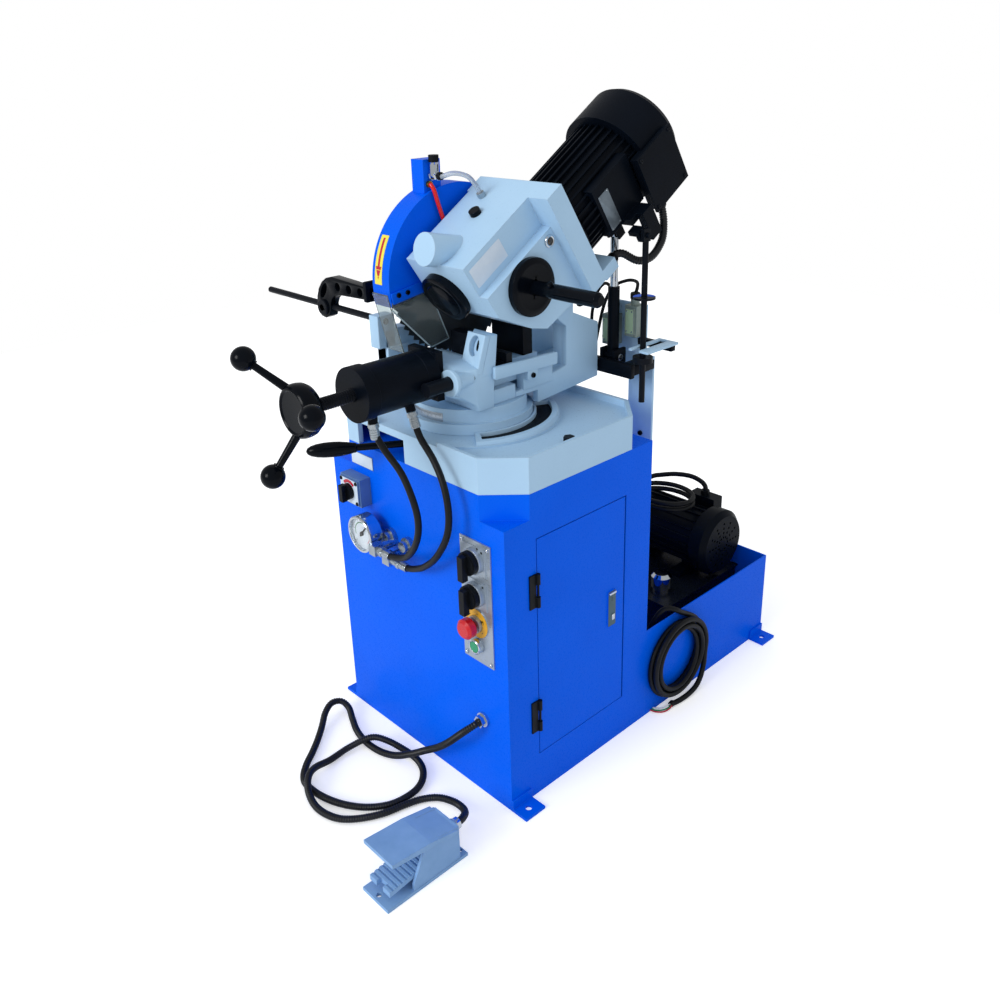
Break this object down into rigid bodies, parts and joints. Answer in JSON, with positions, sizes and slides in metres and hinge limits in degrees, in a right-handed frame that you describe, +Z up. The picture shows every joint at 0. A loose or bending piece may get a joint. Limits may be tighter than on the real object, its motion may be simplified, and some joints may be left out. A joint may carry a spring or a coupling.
{
  "type": "cold saw",
  "caption": "Pedestal cold saw: tilting geared blade head with motor on a swivelling turret, hydraulic vise with ball handwheel, cabinet base, rear oil tray and foot pedal.",
  "frame": {"origin": "centre of the floor bolt pattern, on the floor", "axes": "+X to the right of the operator, +Y to the rear, +Z up"},
  "size_m": [0.842, 1.2, 1.3187],
  "materials": {
    "blue_paint": "gloss",
    "pale_paint": "satin",
    "black_paint": "satin",
    "bright_steel": "brushed",
    "panel_metal": "satin",
    "chromed": "polished",
    "black_plastic": "matte",
    "red_plastic": "gloss",
    "green_plastic": "gloss",
    "grey_plastic": "satin",
    "pedal_metal": "cast",
    "black_rubber": "matte",
    "beige_plastic": "satin",
    "clear_plastic": "clear",
    "clear_tube": "clear"
  },
  "bodies": {
    "base": {"cabinet": "blue_paint", "rear_tray": "blue_paint", "anchor_feet": "blue_paint", "door_hinges": "black_paint", "table_casting": "pale_paint", "table_bolts": "black_paint", "control_panel": "panel_metal", "switch_box": "grey_plastic", "gauge_case": "chromed", "front_fittings": "bright_steel", "clamp_hoses": "black_rubber", "conduit_gland": "chromed", "foot_conduit": "black_rubber", "pedal_base": "pedal_metal", "power_cable": "black_rubber", "oil_tank": "black_paint", "pump_motor": "black_paint", "oil_breather": "chromed", "pump_lead": "black_rubber"},
    "door_leaf": {"door": "blue_paint"},
    "upper_selector": {"selector_upper": "black_plastic"},
    "lower_selector": {"selector_lower": "black_plastic"},
    "emergency_stop": {"stop_button": "red_plastic"},
    "start_push": {"start_button": "green_plastic"},
    "main_switch": {"switch_knob": "black_plastic"},
    "gauge_needle": {"gauge_pointer": "black_plastic"},
    "treadle": {"pedal_treadle": "pedal_metal"},
    "table_lock": {"lock_lever": "black_paint"},
    "turret": {"turntable": "pale_paint", "arm_casting": "pale_paint", "vise_frame": "pale_paint", "rear_jaw": "black_paint", "clamp_cylinder": "black_paint", "pivot_shaft": "bright_steel", "rear_post": "pale_paint", "limit_switches": "beige_plastic", "switch_leads": "black_rubber", "stop_rod": "black_paint"},
    "length_stop": {"stop_arm": "black_paint"},
    "jaw": {"front_jaw": "black_paint"},
    "wheel": {"handwheel": "black_paint"},
    "saw_head": {"gearbox": "pale_paint", "bearing_caps": "black_paint", "saw_motor": "black_paint", "fan_cowl": "black_paint", "motor_box": "black_paint", "motor_lead": "black_rubber", "blade_guard": "blue_paint", "clear_shields": "clear_plastic", "coolant_block": "blue_paint", "coolant_tubes": "clear_tube"},
    "valve": {"valve_knob": "black_plastic"},
    "cutter": {"blade": "bright_steel", "spindle": "bright_steel"},
    "worm": {"worm_shaft": "bright_steel"},
    "rotor": {"motor_rotor": "bright_steel"},
    "feed_barrel": {"feed_cylinder": "bright_steel"},
    "feed_plunger": {"feed_rod": "bright_steel"},
    "trip": {"trip_rod": "black_paint"}
  },
  "joints": [
    {"name": "turret_swivel", "type": "hinge", "parent": "base", "child": "turret", "pos_m": [0, -0.28, 0.735], "axis": [0, 0, 1], "range_deg": [-45, 45], "deforming": ["clamp_hoses"]},
    {"name": "door_swing", "type": "hinge", "parent": "base", "child": "door_leaf", "pos_m": [0.2645, -0.362, 0.333], "axis": [0, 0, -1], "range_deg": [0, 110]},
    {"name": "upper_selector_turn", "type": "hinge", "parent": "base", "child": "upper_selector", "pos_m": [0.184, -0.45, 0.533], "axis": [0, 1, 0], "range_deg": [-60, 60]},
    {"name": "lower_selector_turn", "type": "hinge", "parent": "base", "child": "lower_selector", "pos_m": [0.184, -0.45, 0.463], "axis": [0, 1, 0], "range_deg": [-60, 60]},
    {"name": "emergency_push", "type": "slide", "parent": "base", "child": "emergency_stop", "axis": [0, 1, 0], "range_m": [0, 0.005], "stiffness_N_per_m": 900, "springref_m": -0.002},
    {"name": "start_press", "type": "slide", "parent": "base", "child": "start_push", "axis": [0, 1, 0], "range_m": [0, 0.003], "stiffness_N_per_m": 600, "springref_m": -0.002},
    {"name": "main_switch_turn", "type": "hinge", "parent": "base", "child": "main_switch", "pos_m": [-0.166, -0.47, 0.569], "axis": [0, 1, 0], "range_deg": [0, 90]},
    {"name": "needle_turn", "type": "hinge", "parent": "base", "child": "gauge_needle", "pos_m": [-0.112, -0.485, 0.496], "axis": [0, 1, 0], "range_deg": [-60, 150]},
    {"name": "treadle_press", "type": "hinge", "parent": "base", "child": "treadle", "pos_m": [0.244, -0.655, 0.028], "axis": [1, 0, 0], "range_deg": [0, 6], "stiffness_Nm_per_rad": 20, "springref_deg": -2.86},
    {"name": "lock_turn", "type": "hinge", "parent": "base", "child": "table_lock", "pos_m": [-0.03, -0.405, 0.692], "axis": [0, 0, 1], "range_deg": [-20, 20]},
    {"name": "head_tilt", "type": "hinge", "parent": "turret", "child": "saw_head", "pos_m": [0.027, -0.112, 0.932], "axis": [-1, 0, 0], "range_deg": [-6, 30]},
    {"name": "rotor_spin", "type": "hinge", "parent": "saw_head", "child": "rotor", "pos_m": [0.073, -0.04297, 1.13021], "axis": [0, 0.8368, 0.5476], "continuous": true},
    {"name": "worm_spin", "type": "hinge", "parent": "saw_head", "child": "worm", "pos_m": [0.037, -0.28009, 1.03599], "axis": [0, 0.8368, 0.5476], "continuous": true},
    {"name": "blade_spin", "type": "hinge", "parent": "saw_head", "child": "cutter", "pos_m": [-0.06, -0.2549, 0.9975], "axis": [1, 0, 0], "continuous": true},
    {"name": "valve_turn", "type": "hinge", "parent": "saw_head", "child": "valve", "pos_m": [-0.04, -0.30767, 1.18406], "axis": [0, 0, 1], "range_deg": [0, 270]},
    {"name": "jaw_slide", "type": "slide", "parent": "turret", "child": "jaw", "axis": [0, 1, 0], "range_m": [0, 0.075]},
    {"name": "wheel_turn", "type": "hinge", "parent": "jaw", "child": "wheel", "pos_m": [0.032, -0.67, 0.847], "axis": [0, 1, 0], "range_deg": [0, 5400]},
    {"name": "stop_slide", "type": "slide", "parent": "turret", "child": "length_stop", "axis": [1, 0, 0], "range_m": [-0.18, 0.03]},
    {"name": "feed_swing", "type": "hinge", "parent": "turret", "child": "feed_barrel", "pos_m": [0.112, 0.02, 0.8], "axis": [-1, 0, 0], "range_deg": [-4, 16]},
    {"name": "feed_stroke", "type": "slide", "parent": "feed_barrel", "child": "feed_plunger", "axis": [0, 0, 1], "range_m": [-0.078, 0.018]},
    {"name": "trip_swing", "type": "hinge", "parent": "saw_head", "child": "trip", "pos_m": [0.212, -0.008, 1.062], "axis": [-1, 0, 0], "range_deg": [-32, 8]}
  ],
  "couplings": [
    {"joint": "worm_spin", "follows": "rotor_spin", "ratio": -0.55556},
    {"joint": "blade_spin", "follows": "rotor_spin", "ratio": 0.018519},
    {"joint": "jaw_slide", "follows": "wheel_turn", "m_per_rad": 0.00079577},
    {"joint": "feed_swing", "follows": "head_tilt", "ratio": 0.478},
    {"joint": "feed_stroke", "follows": "head_tilt", "m_per_rad": -0.1432},
    {"joint": "trip_swing", "follows": "head_tilt", "ratio": -1}
  ]
}
